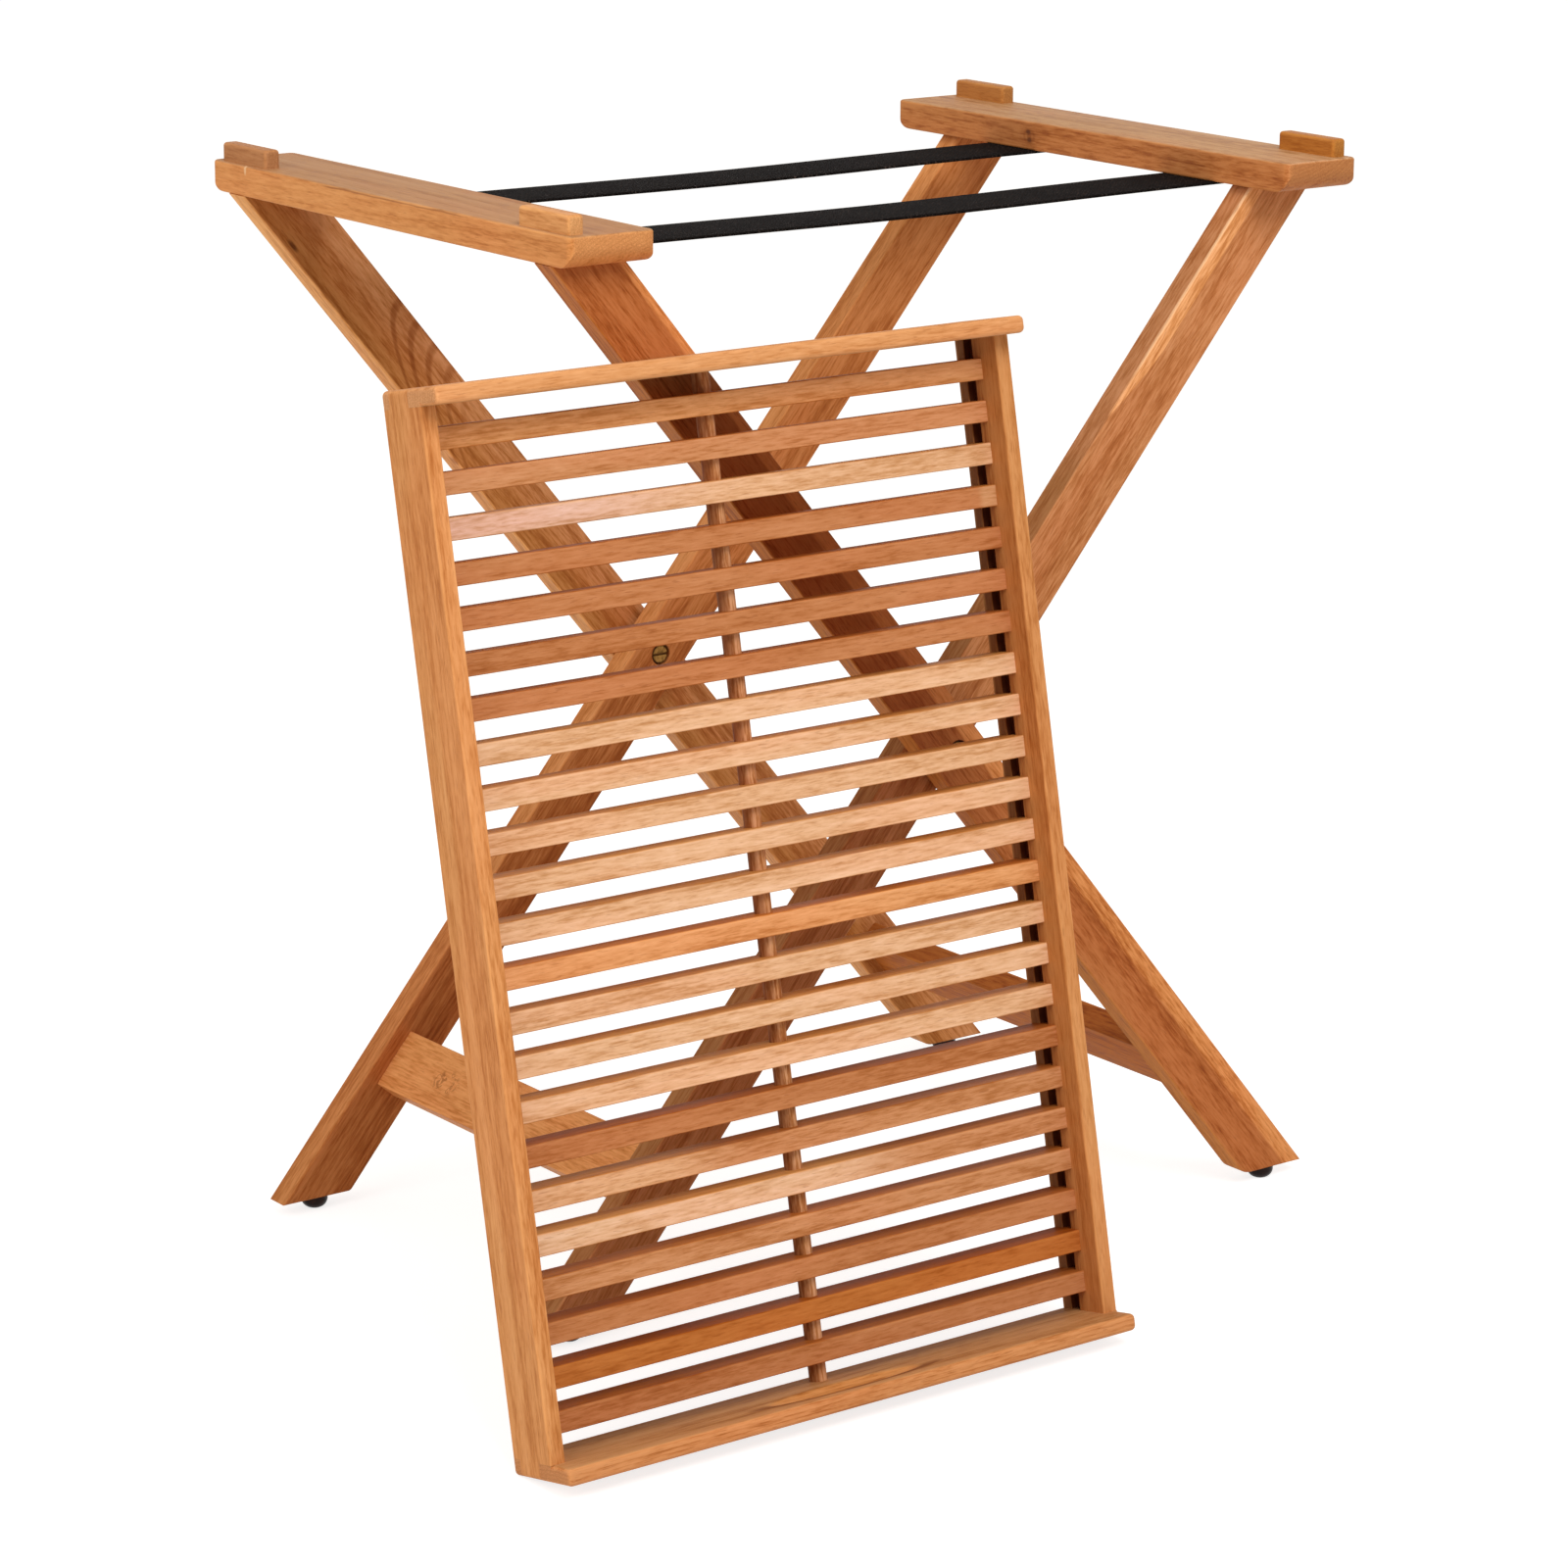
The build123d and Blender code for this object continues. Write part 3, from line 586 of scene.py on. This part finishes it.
# Slats and dowel: 23 thin teak bars stub-tenoned into the grooves of the side boards, evenly spaced,
# and one round teak rod up the back that is let into the ends and steadies every slat at its middle.
def slat_marks(start=None, full=None, by=None):
    """Painted shade darkens the upper and lower faces, and one end may be paler, from start to full along it.
    """
    def marks(tree, along, across, deep, colour):
        # Painted shade on the upper and lower faces, between the slats
        shaded_faces = fade(tree, reckon(tree, "ABSOLUTE", deep), 0.0056, 0.0061)
        colour = glaze(tree, shaded_faces, colour, (0.8, 0.58, 0.26))
        if by:
            colour = glaze(tree, fade(tree, along, start, full), colour, by)
        return colour
    return marks


slat_shades = {"chestnut": "B06830", "russet": "B47448", "amber": "C08458", "honey": "D49460",
               "straw": "D8A880"}
# From the bottom of the tray to its top
slat_woods = (["russet", "chestnut", "russet"] + 3 * ["amber"] + ["russet"] + 3 * ["straw"] + ["honey"]
              + 5 * ["straw"] + 4 * ["russet"] + ["straw", "amber", "honey"])
pale_ends = {5: slat_marks(0.09, 0.01, (1.3, 1.75, 2.4)), 6: slat_marks(-0.03, -0.1, (1.25, 1.6, 2.0)),
             20: slat_marks(0.178, 0.184, (1.15, 1.45, 1.7)), 21: slat_marks(0.02, -0.12, (0.95, 1.0, 1.3))}
for count, wood in enumerate(slat_woods, 1):
    oiled_teak(f"tray_slat_{count:02d}", slat_shades[wood], crosswise, out_tray, streaks=0.6, specks=0.6,
               rings=0.08, polish=0.04, shift=45.0 + 3.1 * count, marks=pale_ends.get(count, slat_marks()))


def dark_grain_and_shade_left(tree, along, across, deep, colour):
    """Darker fibres with a ragged border down the left of the rod: partly dark grain, partly painted shade.
    """
    surface = wire(tree, "ShaderNodeCombineXYZ", {0: along, 1: across})[0]
    ragged, raggedness = noise(tree, surface, fineness=90, detail=3), 0.006
    from_middle = reckon(tree, "MULTIPLY_ADD", ragged, raggedness, across)
    # Partly dark grain, partly painted shade down the left side
    left = fade(tree, from_middle, 0.0022, -0.0008, high=0.9)
    return glaze(tree, left, colour, (0.6, 0.48, 0.38))


oiled_teak("tray_dowel", "C89064", up_tray, crosswise, streaks=1.5, specks=1.4, shift=120.0,
           marks=dark_grain_and_shade_left)


# Studio: a plain pale floor under soft light from the left and above, with the camera where the
# photograph was taken. Floor and sky look brighter than the light that they give the wood.
def looked_at(tree):
    """1 for rays that show a surface to the camera, also in a reflection, and 0 for those that only light."""
    rays = wire(tree, "ShaderNodeLightPath", {})
    mirrored = reckon(tree, "MAXIMUM", rays["Is Glossy Ray"], rays["Is Transmission Ray"])
    return reckon(tree, "MAXIMUM", rays["Is Camera Ray"], mirrored)


floor_mesh = bpy.data.meshes.new("studio_floor")
reach = 12
corners = [(-reach, -reach, 0), (reach, -reach, 0), (reach, reach, 0), (-reach, reach, 0)]
floor_mesh.from_pydata(corners, [], [(0, 1, 2, 3)])
floor = bpy.data.objects.new("studio_floor", floor_mesh)
bpy.context.scene.collection.objects.link(floor)
floor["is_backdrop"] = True
paper = bare_material("floor_paper")
tree = paper.node_tree
cloudy = noise(tree, wire(tree, "ShaderNodeTexCoord", {})["Object"], fineness=3, detail=2)
pale = lay(tree, cloudy, tint("E9E8E6"), tint("EEEDEB"))
matt = wire(tree, "ShaderNodeBsdfDiffuse", {"Color": pale})[0]
dim = wire(tree, "ShaderNodeBsdfDiffuse", {"Color": tint("B4B4B4")})[0]
glow = wire(tree, "ShaderNodeEmission", {"Color": grey(1), "Strength": 0.78})[0]
shown = wire(tree, "ShaderNodeAddShader", {0: dim, 1: glow})[0]
surface = wire(tree, "ShaderNodeMixShader", {0: looked_at(tree), 1: matt, 2: shown})[0]
wire(tree, "ShaderNodeOutputMaterial", {"Surface": surface})
floor_mesh.materials.append(paper)

studio = bpy.data.worlds.new("studio")
bpy.context.scene.world = studio
studio.use_nodes = True
tree = studio.node_tree
tree.nodes.clear()
seen = looked_at(tree)
warm_white, sky_light, sky_shown = (1.0, 0.93, 0.84, 1), 0.58, 1.0
sky_colour = lay(tree, seen, warm_white, grey(1))
brightness = reckon(tree, "MULTIPLY_ADD", seen, sky_shown - sky_light, sky_light)
sky = wire(tree, "ShaderNodeBackground", {"Color": sky_colour, "Strength": brightness})[0]
wire(tree, "ShaderNodeOutputWorld", {"Surface": sky})


def softbox(name, place, size, power):
    """A square soft light that faces the middle of the object."""
    lamp = bpy.data.lights.new(name, "AREA")
    lamp.size, lamp.energy = size, power
    held = bpy.data.objects.new(name, lamp)
    bpy.context.scene.collection.objects.link(held)
    held.location = place
    middle = Vector((0, 0, 0.33))
    held.rotation_euler = (middle - Vector(place)).to_track_quat("-Z", "Y").to_euler()


softbox("front_softbox", (-0.5, -2.0, 2.6), size=1.5, power=54)
softbox("left_softbox", (-3.2, -0.3, 2.2), size=2.2, power=34)

camera_data = bpy.data.cameras.new("camera")
camera_data.lens, camera_data.sensor_width = 113.58, 36.0
camera = bpy.data.objects.new("camera", camera_data)
bpy.context.scene.collection.objects.link(camera)
stood_at = Matrix.Translation((-1.75133, -2.33739, 1.06972))
ahead = Vector((0.57882, 0.77397, -0.25678)).normalized()
level = ahead.cross(Vector((0, 0, 1))).normalized()
upward = level.cross(ahead)
roll = math.radians(0.357)
to_right = level * math.cos(roll) + upward * math.sin(roll)
to_top = upward * math.cos(roll) - level * math.sin(roll)
camera.matrix_world = stood_at @ Matrix((to_right, to_top, -ahead)).transposed().to_4x4()
bpy.context.scene.camera = camera
bpy.context.scene.view_settings.view_transform = "Standard"

low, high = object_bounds()
